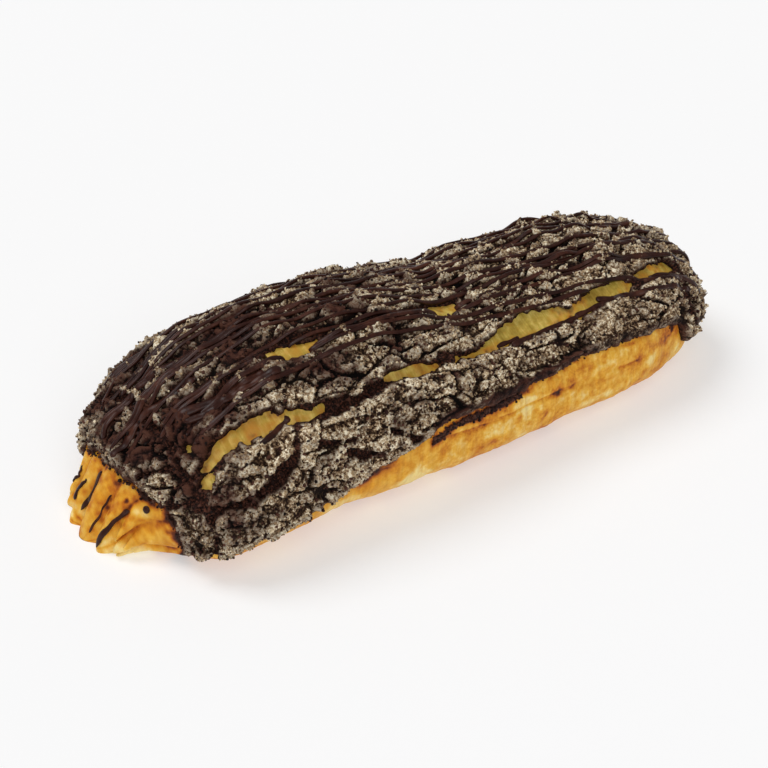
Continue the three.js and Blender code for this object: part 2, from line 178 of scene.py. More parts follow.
# Short strands as points of x and angle, and a half width, on the crust or in the windows
SHORT_STRANDS = [
    ([(-57, 13), (-52, 16), (-46, 20), (-40, 21)], 1.0),
    ([(-56, 17), (-51, 21), (-44, 23), (-37, 24)], 0.8),
    ([(38, 37), (44, 42), (52, 46), (60, 50), (64, 56)], 0.6),
    ([(48, 31), (54, 39), (60, 43), (66, 46)], 0.5),
    ([(-48, 49.5), (-46, 49.2), (-43.5, 47.5), (-41, 46.2), (-40.3, 45), (-41.2, 44)], 0.6),
    ([(10, 43), (12.5, 42), (15, 42.8), (16.5, 41.6)], 0.5),
    ([(13, 45.4), (20, 45), (27, 44.4), (32, 44.4)], 0.6),
    ([(31, 43.2), (35, 42.4), (39, 41.4), (43, 40)], 0.6),
    ([(-66.5, 6), (-64, 2), (-61, -1), (-56, 1), (-50, 4)], 0.9),
    ([(-66, -12), (-62, -16), (-57, -15), (-50, -11)], 0.8),
]
# Chocolate on the piped tip: x and y at each end, and the half width
TIP_MARKS = [
    (-69.5, 13.6, -71.9, 13.5, 0.35),
    (-71.0, 9.1, -73.6, 10.3, 0.42),
    (-69.0, 6.2, -74.6, 7.8, 0.62),
    (-70.2, 0.1, -75.3, 2.1, 0.28),
    (-69.2, -6.4, -75.2, -1.7, 0.6),
]
TIP_DOT = (-67.3, -9.0, 0.8)
# Browned spots on the shell: x, angle, size and how dark
TOAST_SPOTS = [
    (-27, 93, 1.6, 0.5), (-24, 91, 1.4, 0.45), (-21, 90, 1.2, 0.4),
    (47, 80, 3.0, 0.24), (53, 82, 2.2, 0.26), (57, 85, 2.2, 0.3), (44, 84, 2.0, 0.2),
    (30, 84, 1.4, 0.25), (26, 84, 1.2, 0.3), (22, 84, 1.0, 0.3), (-70, 50, 1.5, 0.2),
    (-38, -98, 2.5, 0.35), (10, -88, 3, 0.3), (44, -84, 3, 0.35), (66, -100, 2, 0.3),
]

# Sugar crystals and cocoa crumbs: how many, their radii and how deep they are sunk
CRYSTALS = 15000
CRYSTAL_RADIUS = (0.14, 0.36)
CRUMBS = 8000
CRUMB_RADIUS = (0.12, 0.42)
GRAIN_SINK = 0.75
RIM_CRUMBS = 420
SIDE_CRUMBS = 160

# The camera that took the photograph
CAMERA_AZIMUTH = -34.08
CAMERA_ELEVATION = 35.01
CAMERA_DISTANCE = 499.25
CAMERA_TARGET = (-5.34, 0.0, 12.26)
FOCAL_PIXELS = 2385.1
PHOTO_PIXELS = 768
SENSOR_MM = 36
TABLE_HALF_MM = 3000.0


def along(table, x, column=1):
    """A smooth curve through the rows of a table, at x."""
    keys = table[:, 0]
    values = table[:, column]
    x = np.clip(x, keys[0], keys[-1])
    i = np.clip(np.searchsorted(keys, x, side="right") - 1, 0, len(keys) - 2)
    span = keys[i + 1] - keys[i]
    t = (x - keys[i]) / span

    def slope(k):
        before = np.maximum(k - 1, 0)
        after = np.minimum(k + 1, len(keys) - 1)
        return (values[after] - values[before]) / (keys[after] - keys[before])

    start = (2 * t**3 - 3 * t**2 + 1) * values[i] + (t**3 - 2 * t**2 + t) * slope(i) * span
    end = (3 * t**2 - 2 * t**3) * values[i + 1] + (t**3 - t**2) * slope(i + 1) * span
    return start + end


def smoothstep(value, low, high):
    """A smooth rise from 0 at low to 1 at high."""
    t = np.clip((value - low) / (high - low), 0, 1)
    return t * t * (3 - 2 * t)


def power(value, exponent):
    """A power that keeps the sign."""
    return np.sign(value) * np.abs(value) ** exponent


def unit(vectors):
    """Directions of length one."""
    return vectors / np.maximum(np.linalg.norm(vectors, axis=-1, keepdims=True), 1e-9)


def section(x):
    """Half width, crown, belly, widest line and sideways offset of the shell at x."""
    c = np.clip((x - CAP_START_X) / (END_X - CAP_START_X), 0, 1)
    cap = (1 - c**CAP_POWER) ** (1 / CAP_POWER)
    t = np.clip((TIP_X + TIP_ROUND - x) / TIP_ROUND, 0, 1)
    tip = np.sqrt(1 - t * t)
    height = along(SECTIONS, x, 2)
    crown = np.where(x < 0, height * tip, CAP_POLE_Z + (height - CAP_POLE_Z) * cap)
    belly = CAP_POLE_Z * (1 - cap)
    half = along(SECTIONS, x) * cap * tip
    return half, crown, belly, belly + WIDEST_AT * (crown - belly), along(SIDE_SHIFT, x)


def shell_point(x, angle, fluted=True):
    """Points of the shell at x and an angle in radians."""
    x, angle = np.broadcast_arrays(np.asarray(x, float), np.asarray(angle, float))
    half, crown, belly, widest, shift = section(x)
    near_tip = smoothstep(-x, 57, 69) * smoothstep(crown, 3, 10)
    upper = smoothstep(np.cos(angle), -0.8, -0.3)
    groove = np.abs(np.cos(FLUTES * angle / 2)) ** 1.3 - 1
    inset = 1 + fluted * FLUTE_DEPTH * near_tip * upper * groove / np.maximum(half, 4)
    cosine = np.cos(angle)
    y = shift - half * inset * power(np.sin(angle), 2 / CROWN_POWER)
    over = (crown - widest) * inset * np.abs(cosine) ** (2 / CROWN_POWER)
    under = (belly - widest) * np.abs(cosine) ** (2 / BELLY_POWER)
    z = np.maximum(widest + np.where(cosine >= 0, over, under) - SETTLE, 0)
    across = np.clip(np.abs(y - shift) / TIP_HALF_WIDTH, 0, 1) ** (CROWN_POWER / 2)
    notch = 1 - np.abs(np.cos(FLUTES / 2 * np.arcsin(across))) ** 1.3
    drawn_back = fluted * SCALLOP * smoothstep(-x, 68, 74) * notch
    return np.stack([x + drawn_back, y, z], -1)


def station_x(s):
    """The x of a station: stations close up towards both ends, from 0 at the tip to 1."""
    return MIDDLE_X - HALF_LENGTH * np.cos(np.pi * s)


def x_station(x):
    return np.arccos((MIDDLE_X - x) / HALF_LENGTH) / np.pi


def shell_normal(x, angle):
    """Outward directions of the unfluted shell."""
    s = np.clip(x_station(np.asarray(x, float)), 0.01, 0.985)
    ahead = shell_point(station_x(s + 0.004), angle, False)
    behind = shell_point(station_x(s - 0.004), angle, False)
    up = shell_point(station_x(s), angle + 0.03, False)
    down = shell_point(station_x(s), angle - 0.03, False)
    return unit(np.cross(up - down, ahead - behind))


def hashed(cells, seed):
    """A number from 0 to 1 for each whole-number cell."""
    n = cells.astype(np.int64)
    h = n[..., 0] * 73856093 ^ n[..., 1] * 19349663 ^ n[..., 2] * 83492791 ^ seed * 7919
    h = (h ^ (h >> 13)) * 1274126177
    h = (h ^ (h >> 16)) & 0x7FFFFFFF
    return (h % 999983) / 999983.0


def noise(points, size, seed):
    """Smooth noise from -1 to 1 with lumps of about the given size."""
    p = points / size + seed * 3.17
    cell = np.floor(p)
    t = p - cell
    t = t * t * (3 - 2 * t)
    total = 0.0
    for corner in product((0, 1), repeat=3):
        weight = np.where(corner, t, 1 - t).prod(-1)
        total += weight * hashed(cell + np.array(corner), seed)
    return total * 2 - 1


def cells(points, size, seed):
    """Irregular cells round scattered points: the distance to the cell's point, how far its
    edge is, its own number from 0 to 1 and a slope of its own across it, from about -0.5 to 0.5."""
    p = points / np.asarray(size, float) + seed * 1.31
    cell = np.floor(p)
    first = np.full(p.shape[:-1], 9.0)
    second = np.full(p.shape[:-1], 9.0)
    number = np.zeros(p.shape[:-1])
    slope = np.zeros(p.shape[:-1])
    for offset in product((-1, 0, 1), repeat=3):
        near = cell + np.array(offset)
        spot = np.stack([hashed(near, seed + n) for n in (1, 2, 3)], -1)
        away = p - near - spot
        gap = np.linalg.norm(away, axis=-1)
        closer = gap < first
        second = np.where(closer, first, np.minimum(second, gap))
        own = hashed(near, seed + 4)
        number = np.where(closer, own, number)
        lean = np.stack([np.sin(turn * own) for turn in (40, 70, 90)], -1)
        slope = np.where(closer, (away * lean).sum(-1), slope)
        first = np.where(closer, gap, first)
    return first, second - first, number, slope


def uneven(p, wavelength, phase):
    """The slow unevenness that the solids have too."""
    k = 2 * np.pi / wavelength
    x, y, z = p[..., 0], p[..., 1], p[..., 2]
    return (
        np.sin(k * x + 1.7 * np.sin(0.61 * k * y + phase))
        + np.sin(0.83 * k * (y + z) + 1.3 * np.sin(0.71 * k * x + 2 * phase))
        + np.sin(1.21 * k * (z - 0.6 * x) + phase)
    ) / 3


def clearance(points, line):
    """Distance from each point to the side of a crack, negative inside the crack."""
    marks = np.array(line, float) * (1, 1, CRACK_SHARE)
    steps = np.linspace(0, len(marks) - 1, 3 * len(marks))
    marks = np.stack([np.interp(steps, range(len(marks)), marks[:, c]) for c in range(3)], -1)
    path = shell_point(marks[:, 0], np.radians(marks[:, 1]), False)
    flat = points.reshape(-1, 3)
    best = np.full(len(flat), 99.0)
    near = (flat[:, 0] > path[:, 0].min() - 8) & (flat[:, 0] < path[:, 0].max() + 8)
    part = flat[near]
    least = np.full(len(part), 99.0)
    for k in range(len(path) - 1):
        side = path[k + 1] - path[k]
        t = np.clip(((part - path[k]) @ side) / (side @ side), 0, 1)
        gap = part - path[k] - t[:, None] * side
        half = marks[k, 2] + t * (marks[k + 1, 2] - marks[k, 2])
        least = np.minimum(least, np.sqrt((gap * gap).sum(-1)) - half)
    best[near] = least
    return best.reshape(points.shape[:-1])


def window_clearance(x, degrees, mm_per_degree, window):
    """Distance to the side of a window, negative inside it."""
    starts, low, high = np.array(window, float).T
    above = degrees - np.interp(x, starts, low)
    below = np.interp(x, starts, high) - degrees
    inside = np.minimum(above, below) * mm_per_degree
    ends = np.minimum(x - starts[0], starts[-1] - x)
    return -np.minimum(inside, ends)


def scene_object(name, data):
    """A new object in the scene."""
    made = bpy.data.objects.new(name, data)
    bpy.context.scene.collection.objects.link(made)
    return made


def mesh_object(name, points, faces, material, attributes=None, smooth=True):
    """A mesh object from millimetre points and faces that all have as many corners."""
    faces = np.asarray(faces, np.int64)
    sides = faces.shape[1]
    used, index = np.unique(faces.ravel(), return_inverse=True)
    mesh = bpy.data.meshes.new(name)
    mesh.vertices.add(len(used))
    placed = (points.reshape(-1, 3)[used] + PLACE) * 0.001
    mesh.vertices.foreach_set("co", placed.astype(np.float32).ravel())
    mesh.loops.add(len(index))
    mesh.loops.foreach_set("vertex_index", index.astype(np.int32))
    mesh.polygons.add(len(faces))
    mesh.polygons.foreach_set("loop_start", np.arange(0, len(index), sides, dtype=np.int32))
    mesh.polygons.foreach_set("use_smooth", np.full(len(faces), smooth))
    mesh.update(calc_edges=True)
    for key, values in (attributes or {}).items():
        layer = mesh.attributes.new(key, "FLOAT", "POINT")
        layer.data.foreach_set("value", values.ravel()[used].astype(np.float32))
    mesh.materials.append(material)
    return scene_object(name, mesh)


def dress(piece, node=None):
    """Put a piece on the part, in place of a node if one is named."""
    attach(piece, "root")
    if node:
        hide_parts(node)


def grid_faces(rows, columns, around=False):
    """Four-cornered faces over a grid of points, joined round if asked."""
    i = np.arange(rows - 1)[:, None]
    j = np.arange(columns if around else columns - 1)
    k = (j + 1) % columns
    a = i * columns + j
    b = i * columns + k
    return np.stack([a, b, b + columns, a + columns], -1).reshape(-1, 4)


def linear(red, green, blue):
    """A colour from its screen values, 0 to 255."""
    c = np.array([red, green, blue]) / 255
    c = np.where(c <= 0.04045, c / 12.92, ((c + 0.055) / 1.055) ** 2.4)
    return (float(c[0]), float(c[1]), float(c[2]), 1.0)


class Paint:
    """A node material, with short calls for the nodes that the surfaces share."""

    def __init__(self, name):
        self.material = bpy.data.materials.new(name)
        self.material.use_nodes = True
        self.nodes = self.material.node_tree.nodes
        self.links = self.material.node_tree.links
        self.shader = self.nodes["Principled BSDF"]
        self.place = self.nodes.new("ShaderNodeTexCoord").outputs["Object"]

    def node(self, kind, inputs=None, **settings):
        made = self.nodes.new(kind)
        for key, value in settings.items():
            setattr(made, key, value)
        for key, value in (inputs or {}).items():
            self.feed(value, made.inputs[key])
        return made

    def feed(self, value, socket):
        if isinstance(value, bpy.types.NodeSocket):
            self.links.new(value, socket)
        else:
            socket.default_value = value

    def shade(self, name, value):
        self.feed(value, self.shader.inputs[name])

    def attribute(self, name):
        return self.node("ShaderNodeAttribute", attribute_name=name).outputs["Fac"]

    def noise(self, size_mm, detail=3.0, rough=0.55, place=None):
        inputs = {"Vector": place or self.place, "Scale": 1000 / size_mm}
        inputs.update({"Detail": detail, "Roughness": rough})
        return self.node("ShaderNodeTexNoise", inputs).outputs["Fac"]

    def ramp(self, value, stops):
        made = self.node("ShaderNodeValToRGB", {"Fac": value})
        ramp = made.color_ramp
        while len(ramp.elements) < len(stops):
            ramp.elements.new(0.5)
        for element, (position, *colour) in zip(ramp.elements, stops):
            element.position = position
            element.color = linear(*colour)
        return made.outputs["Color"]

    def math(self, kind, a, b=0.0, clamp=False):
        made = self.node("ShaderNodeMath", {0: a, 1: b}, operation=kind, use_clamp=clamp)
        return made.outputs[0]

    def span(self, value, low, high, to_low=0.0, to_high=1.0):
        inputs = {0: value, 1: low, 2: high, 3: to_low, 4: to_high}
        return self.node("ShaderNodeMapRange", inputs).outputs[0]

    def mix(self, share, a, b, kind="MIX"):
        inputs = {0: share, 6: a, 7: b}
        return self.node("ShaderNodeMix", inputs, data_type="RGBA", blend_type=kind).outputs[2]

    def bump(self, height, distance_mm, strength):
        inputs = {"Height": height, "Distance": distance_mm * 0.001, "Strength": strength}
        return self.node("ShaderNodeBump", inputs).outputs["Normal"]


def choux_material():
    paint = Paint("choux_baked")
    toast_and_painted_light = paint.attribute("toast_and_painted_light")
    pale = paint.attribute("pale")
    broad = paint.noise(9, 4)
    fine = paint.noise(1.6, 5, 0.65)
    # the shell's browning, which also carries painted shade in grooves and creases and painted
    # highlights in pale patches
    browning_and_painted_light = paint.math("ADD", toast_and_painted_light, paint.span(broad, 0.3, 0.7, -0.16, 0.16))
    blotches = paint.span(paint.noise(2.6, 5, 0.7), 0.35, 0.65, -0.2, 0.2)
    blotches = paint.math("MULTIPLY", blotches, paint.attribute("blotched"))
    browning_and_painted_light = paint.math("ADD", browning_and_painted_light, blotches)
    browning_and_painted_light = paint.math("ADD", browning_and_painted_light, paint.span(fine, 0.3, 0.7, -0.08, 0.08), clamp=True)
    golden = paint.ramp(browning_and_painted_light, [
        (0.0, 252, 228, 150),
        (0.25, 240, 188, 72),
        (0.45, 226, 158, 40),
        (0.65, 196, 112, 22),
        (0.82, 116, 52, 16),
        (1.0, 46, 20, 12),
    ])
    stretched = paint.node("ShaderNodeMapping", {"Vector": paint.place, "Scale": (1.0, 0.12, 0.12)})
    streaks = paint.noise(0.9, 3, 0.6, stretched.outputs["Vector"])
    mottled = paint.math("ADD", paint.span(streaks, 0.3, 0.7, -0.22, 0.22), broad)
    mottled = paint.math("ADD", mottled, paint.span(fine, 0.3, 0.7, -0.16, 0.16))
    # the choux under the crust gets an olive colour: the paler choux there, with painted shade from
    # the crust around it
    pale_and_shaded_olive = paint.ramp(mottled, [(0.2, 154, 124, 44), (0.5, 188, 162, 70), (0.75, 230, 208, 112)])
    warm = paint.mix(paint.span(toast_and_painted_light, 0.4, 0.9), pale_and_shaded_olive, golden)
    colour = paint.mix(pale, golden, warm)
    streak = paint.span(streaks, 0.35, 0.65, 0.0, 0.25)
    streaky = paint.mix(streak, colour, linear(176, 104, 40), "MULTIPLY")
    paint.shade("Base Color", streaky)
    rough = paint.span(fine, 0.2, 0.8, 0.42, 0.66)
    paint.shade("Roughness", rough)
    paint.shade("Subsurface Weight", 0.12)
    paint.shade("Subsurface Radius", (1.0, 0.6, 0.25))
    paint.shade("Subsurface Scale", 0.0015)
    paint.shade("Specular IOR Level", 0.2)
    pores = paint.math("SUBTRACT", fine, paint.math("MULTIPLY", streaks, 0.5))
    paint.shade("Normal", paint.bump(pores, 0.25, 0.7))
    return paint.material


def crust_material():
    """Dark cocoa crust, red-brown where it has crumbled, with fine sugar baked into its top; its
    colours carry painted shade, darker in its hollows and near-black deep in its cracks, and
    painted light on its crests.
    """
    paint = Paint("craquelin_crust")
    # painted shade and light: the height attribute holds the crust's level, low in hollows and high
    # on crests, so the colours below are darker in its hollows and lighter on its crests
    height = paint.attribute("height")
    sugar = paint.attribute("sugar")
    wall = paint.attribute("wall")
    fine = paint.noise(0.55, 4, 0.75)
    patch = paint.noise(3.5, 4, 0.6)
    level = paint.math("ADD", height, paint.span(fine, 0.3, 0.7, -0.14, 0.14))
    cocoa = paint.ramp(level, [
        (0.15, 5, 2, 1),
        (0.4, 26, 11, 8),
        (0.58, 54, 27, 20),
        (0.85, 80, 48, 36),
    ])
    # painted shade and light: the sugar's colour also follows the level, darker in hollows and
    # lighter on crests
    speckle_and_hollow_shade = paint.math("ADD", paint.span(fine, 0.3, 0.72), paint.span(level, 0.3, 0.7, -0.3, 0.3))
    crystal = paint.ramp(speckle_and_hollow_shade, [
        (0.12, 36, 21, 14),
        (0.38, 108, 81, 58),
        (0.62, 186, 157, 120),
        (0.9, 255, 244, 217),
    ])
    cover = paint.math("MULTIPLY", sugar, paint.span(patch, 0.38, 0.55, 0.35, 1.15), clamp=True)
    sugared = paint.mix(cover, cocoa, crystal)
    # red-brown crumb on the walls of cracks and windows and at the rim, with near-black painted
    # shade deep in the cracks
    crumb = paint.ramp(fine, [(0.38, 6, 2, 1), (0.5, 32, 15, 10), (0.64, 98, 56, 41)])
    paint.shade("Base Color", paint.mix(wall, sugared, crumb))
    paint.shade("Roughness", paint.span(speckle_and_hollow_shade, 0.4, 1.0, 0.75, 0.5))
    paint.shade("Specular IOR Level", 0.12)
    paint.shade("Normal", paint.bump(fine, 0.35, 0.8))
    return paint.material


def grain_material(name, stops, rough):
    paint = Paint(name)
    tone = paint.attribute("tone")
    fine = paint.noise(0.35, 2)
    shade = paint.math("ADD", tone, paint.span(fine, 0.3, 0.7, -0.12, 0.12), clamp=True)
    paint.shade("Base Color", paint.ramp(shade, stops))
    paint.shade("Roughness", rough)
    paint.shade("Specular IOR Level", 0.2)
    paint.shade("Normal", paint.bump(fine, 0.1, 0.5))
    return paint.material


def drizzle_material():
    paint = Paint("dark_chocolate")
    broad = paint.noise(5, 3)
    fine = paint.noise(0.8, 3, 0.6)
    tone = paint.math("ADD", paint.math("MULTIPLY", broad, 0.7), paint.math("MULTIPLY", fine, 0.3))
    colour = paint.ramp(tone, [(0.25, 22, 8, 6), (0.5, 50, 23, 16), (0.75, 86, 48, 34)])
    paint.shade("Base Color", colour)
    paint.shade("Roughness", paint.span(fine, 0.2, 0.8, 0.24, 0.46))
    paint.shade("Specular IOR Level", 0.2)
    paint.shade("Normal", paint.bump(tone, 0.35, 0.6))
    return paint.material


def floor_material():
    paint = Paint("pale_table")
    cloudy = paint.noise(400, 2)
    paint.shade("Base Color", paint.mix(cloudy, linear(202, 202, 202), linear(205, 205, 206)))
    paint.shade("Roughness", 0.85)
    paint.shade("Specular IOR Level", 0.1)
    paint.shade("Emission Color", (1.0, 1.0, 1.0, 1.0))
    paint.shade("Emission Strength", 0.42)
    return paint.material


def fringe_middle(x):
    """The angle of the dark crumbly fringe that lies below the crust's edge on the front."""
    return along(FRONT_EDGE, x) + 4.5 - 0.12 * (x - 2)


def past_rim(x, degrees):
    """How far outside the crust each place is: in degrees below its rim, and in mm over the tip."""
    below = np.where(degrees > 0, degrees - along(FRONT_EDGE, x), along(BACK_EDGE, x) - degrees)
    return below, along(LEFT_EDGE, degrees) - x


def lower_crease(base, x, degrees):
    """The long crease low on the shell's front, 1 along its middle and 0 away from it."""
    crease = np.exp(-(((degrees - 86 - 1.5 * noise(base, 12, 6)) / 1.1) ** 2))
    return crease * smoothstep(x, -14, -4) * smoothstep(-x, -50, -40)


def shell_relief(base, crease, fold_edge):
    """How far the baked surface swells, wrinkles and sinks, in mm."""
    relief = 0.3 * noise(base, 6, 3) + 0.16 * noise(base, 2.2, 4)
    relief += 0.1 * noise(base * (1, 0.25, 0.25), 0.8, 5)
    relief -= 0.14 * (1 - smoothstep(fold_edge, 0.0, 0.14)) + 0.35 * crease
    return relief * smoothstep(base[..., 2], 0.0, 1.2)


def toasting_and_painted_light(base, x, degrees, crease, fold_edge):
    """How dark the shell is painted, from 0 to 1: baked darker near the crust's rim, low down and
    in scattered spots, with painted shade over the tip's grooves and along its creases and fold
    edges, and painted highlights as pale streaky patches."""
    below_rim, over_tip = past_rim(x, degrees)
    near_rim = np.exp(-np.maximum(over_tip, 0) / 1.9) * (over_tip > -2)
    near_rim = np.maximum(near_rim, 0.35 * np.exp(-np.maximum(below_rim, 0) / 2.5))
    # the tip's grooves are painted darker: browning, and painted shade in the grooves
    groove = 1 - np.abs(np.cos(FLUTES * np.radians(degrees) / 2)) ** 0.8
    toast_and_painted_light = 0.35 + 0.1 * noise(base, 11, 7) + 0.75 * near_rim * (0.75 + 0.8 * noise(base, 1.1, 8))
    toast_and_painted_light += 0.26 * groove * smoothstep(-x, 58, 68) - 0.2 * smoothstep(-x, 60, 67)
    low = 1 - smoothstep(base[..., 2], 1.0, 6.5)
    toast_and_painted_light += 0.24 * low * smoothstep(x, -66, -50) * (0.7 + 0.6 * noise(base, 4, 13))
    spots = smoothstep(noise(base, 2.6, 9), 0.45, 0.8) * smoothstep(noise(base, 9, 10), 0.1, 0.6)
    toast_and_painted_light += 0.4 * spots
    for spot_x, spot_degrees, size, depth in TOAST_SPOTS:
        centre = shell_point(spot_x, np.radians(spot_degrees))
        gap = np.linalg.norm(base - centre, axis=-1) * (1 + 0.35 * noise(base, 2.2, 11))
        toast_and_painted_light += depth * np.exp(-((gap / size) ** 2))
    fringe = smoothstep(x, -13, -9) * smoothstep(-x, -17, -13)
    off_middle = degrees - fringe_middle(x) - 1.2 * noise(base, 3, 12)
    toast_and_painted_light += 0.75 * fringe * np.exp(-((off_middle / 2.6) ** 2))
    # painted highlights: pale streaky patches where the shell is painted lighter
    toast_and_painted_light -= 0.28 * smoothstep(noise(base * (0.5, 1, 1), 4.5, 15), 0.1, 0.6)
    # painted shade: darker along the fold edges, and along the low crease on the front
    toast_and_painted_light += 0.05 * (1 - smoothstep(fold_edge, 0.0, 0.12))
    return toast_and_painted_light + 0.35 * crease * smoothstep(noise(base, 7, 16), -0.3, 0.3)


def choux_shell(material):
    """The baked shell: closed, with flutes, wrinkles and pores, browned, and with painted shade and
    painted highlights in its colour.
    """
    rows = 360
    columns = 250
    stations = np.linspace(SHELL_FIRST_STATION, SHELL_LAST_STATION, rows)
    angle = np.linspace(-np.pi, np.pi, columns, endpoint=False)
    x, angle = np.broadcast_arrays(station_x(stations)[:, None], angle)
    degrees = np.degrees(angle)
    base = shell_point(x, angle)
    crease = lower_crease(base, x, degrees)
    fold_edge = cells(base * (0.6, 1, 1), 7, 14)[1]
    relief = shell_relief(base, crease, fold_edge)
    points = base + shell_normal(x, angle) * relief[..., None]
    points[..., 2] = np.maximum(points[..., 2], 0)
    toast_and_painted_light = toasting_and_painted_light(base, x, degrees, crease, fold_edge)
    below_rim, over_tip = past_rim(x, degrees)
    # pale is 1 under the crust, where the material paints the olive colour: paler choux with
    # painted shade
    pale = smoothstep(-below_rim, -1.5, 4.0) * smoothstep(-over_tip, 0, 3)
    ends = np.stack([points[0].mean(0), points[-1].mean(0)])
    ring = np.arange(columns)
    following = (ring + 1) % columns
    last_ring = (rows - 1) * columns
    first_end = np.full(columns, rows * columns)
    quads = grid_faces(rows, columns, around=True)
    faces = np.concatenate([
        quads[:, [0, 1, 2]],
        quads[:, [0, 2, 3]],
        np.stack([first_end, following, ring], -1),
        np.stack([first_end + 1, last_ring + ring, last_ring + following], -1),
    ])
    # the last two values are for the points that close the ends
    attributes = {
        "toast_and_painted_light": np.append(toast_and_painted_light.ravel(), [0.5, 0.4]),
        "pale": np.append(pale.ravel(), [0, 0]),
        "blotched": np.append(smoothstep(x, -48, 0).ravel(), [0, 1]),
    }
    closed = np.concatenate([points.reshape(-1, 3), ends])
    return mesh_object("choux_looks", closed, faces, material, attributes)


def crust_edges(base, x, degrees, mm_per_degree):
    """Distances to the crust's cracks, windows and rim, negative inside an opening and past the
    rim, and the raggedness that they share."""
    ragged = 0.6 * noise(base, 3.4, 21) + 0.6 * noise(base, 1.5, 22) + 0.3 * noise(base, 0.8, 23)
    crack = np.full(x.shape, 99.0)
    for line in DARK_CRACKS:
        crack = np.minimum(crack, clearance(base, line))
    window = np.full(x.shape, 99.0)
    for outline in WINDOWS:
        window = np.minimum(window, window_clearance(x, degrees, mm_per_degree, outline))
    rim = np.minimum(along(FRONT_EDGE, x) - degrees, degrees - along(BACK_EDGE, x)) * mm_per_degree
    rim = np.minimum(rim, x - along(LEFT_EDGE, degrees))
    return crack + ragged, window + ragged, rim + 0.7 * ragged, ragged


def crust_lumps(base, edge):
    """Slabs that sit higher or lower and aslant, blocks within them, clumps and grains: their
    relief and the rubble of the cracks' floors in mm, how well they hold sugar, and their gaps."""
    warp = np.stack([noise(base, 2.8, seed) for seed in (24, 25, 26)], -1)
    warped = base + 0.9 * warp
    broken = smoothstep(noise(base, 15, 32), -0.6, 0.15)
    _, slab_edge, slab, slab_slope = cells(warped, (11.5, 5.5, 5.5), 31)
    _, block_edge, block, block_slope = cells(warped, (4.4, 2.8, 2.8), 33)
    _, clump_edge, clump, clump_slope = cells(base + 0.35 * warp, 1.7, 40)
    grain_near, _, grain, _ = cells(base, 0.8, 34)
    slab_gap = (1 - smoothstep(slab_edge, 0.02, 0.1)) * broken
    block_gap = (1 - smoothstep(block_edge, 0.0, 0.13)) * smoothstep(block + slab, 0.7, 1.3)
    clump_gap = 1 - smoothstep(clump_edge, 0.0, 0.2)
    lip = np.exp(-(((edge - 1.2) / 0.9) ** 2)) * smoothstep(noise(base, 8, 35), -0.5, 0.2)
    rough = 0.7 + 0.3 * smoothstep(noise(base, 7, 27), -0.3, 0.3)
    relief = 1.25 * (slab - 0.5) + 0.9 * slab_slope - 1.5 * slab_gap
    relief += 0.45 * (block - 0.5) + 0.6 * block_slope - 0.5 * block_gap
    relief += rough * (0.3 * (clump - 0.5) + 0.46 * clump_slope - 0.2 * clump_gap)
    relief += rough * 0.52 * np.clip(0.55 - grain_near, 0, 1) * (0.3 + grain)
    relief += 0.12 * noise(base, 0.55, 38) + 0.5 * lip - 0.35
    rubble = 0.7 * np.clip(0.6 - grain_near, 0, 1)
    rubble += 0.8 * smoothstep(clump, 0.62, 0.72) * (1 - clump_gap)
    holds = 0.3 * (block - 0.5) + 0.35 * lip
    return relief, rubble, holds, np.maximum(slab_gap, 0.8 * block_gap)


def sugar_cover(base, x, degrees, edge, holds, gap, melted):
    """How much of the crust the sugar covers, from 0 to 1: least in gaps, on the melted rim and
    over the brown patch near the tip."""
    sugar = 0.6 + holds + 0.55 * noise(base, 9, 36) + 0.45 * noise(base, 3.2, 37)
    sugar += 0.3 * smoothstep(degrees, 40, 54) - 1.5 * melted
    brown = np.exp(-(((x + 55) / 9) ** 2) - ((degrees - 20) / 16) ** 2)
    sugar = sugar - 0.5 * brown - 0.4 * smoothstep(-x, 48, 62) + 0.42 * smoothstep(x, -10, 35)
    sugar -= 0.25 * smoothstep(-x, 20, 45) * (1 - smoothstep(np.abs(degrees - 8), 20, 38))
    return np.clip(sugar, 0, 1) * smoothstep(edge, 0.0, 0.7) * (1 - gap)


